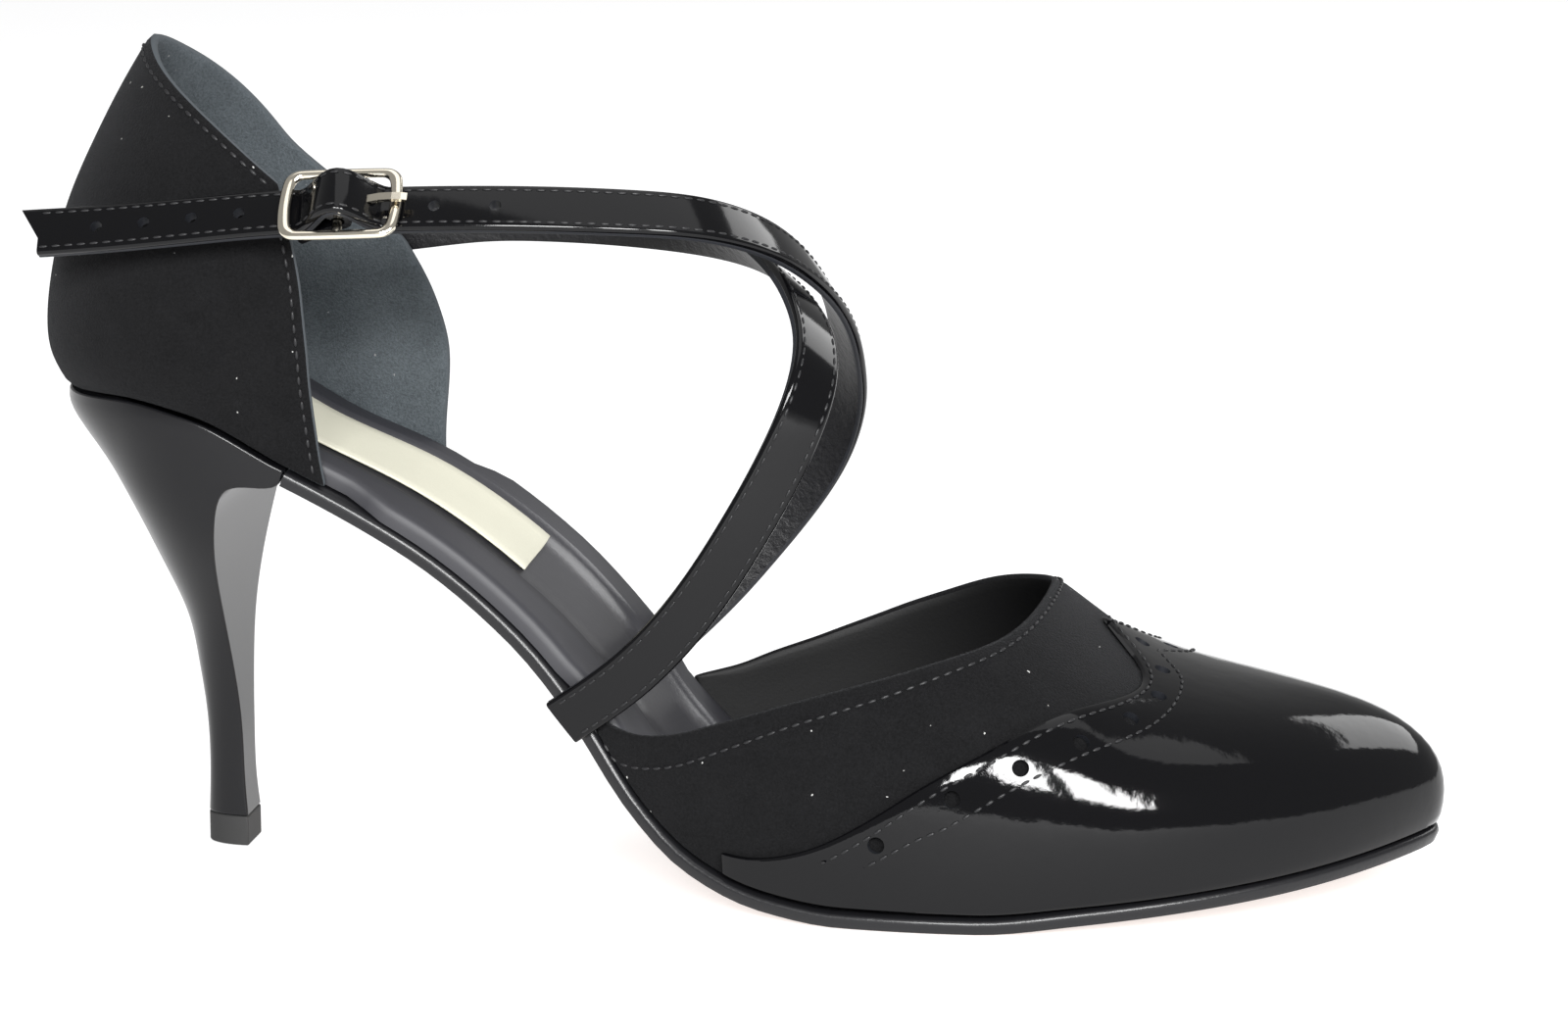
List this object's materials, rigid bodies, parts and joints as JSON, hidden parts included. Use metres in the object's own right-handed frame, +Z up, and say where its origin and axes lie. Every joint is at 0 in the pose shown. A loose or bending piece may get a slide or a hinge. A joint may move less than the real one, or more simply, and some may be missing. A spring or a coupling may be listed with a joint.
{
  "type": "tango shoe",
  "caption": "Right-foot dance pump with open waist, high slim heel, wing-shaped toe cap, pointed counter and straps that cross over the instep to an ankle buckle.",
  "frame": {"origin": "centre of the shoe's bounding box, on the floor it stands on", "axes": "+X from heel to toe, +Z up, +Y towards the inner side of the foot"},
  "size_m": [0.229, 0.077, 0.1352],
  "materials": {
    "suede": "napped black suede",
    "patent": "glossy black patent leather",
    "insole_leather": "smooth black leather",
    "sole_leather": "black edge, tan underside",
    "lacquer": "glossy black heel",
    "top_piece_plastic": "matte black",
    "label_strip": "plain cream strip",
    "pale_metal": "polished pale metal"
  },
  "bodies": {
    "root": {"outsole": "sole_leather", "insole": "insole_leather", "vamp": "suede", "toe_cap": "patent", "counter": "suede", "heel": "lacquer", "top_piece": "top_piece_plastic", "strap_cross": "patent", "strap_buckle": "patent", "buckle_frame": "pale_metal", "buckle_chape": "patent", "buckle_prong": "pale_metal", "label": "label_strip"}
  },
  "joints": []
}
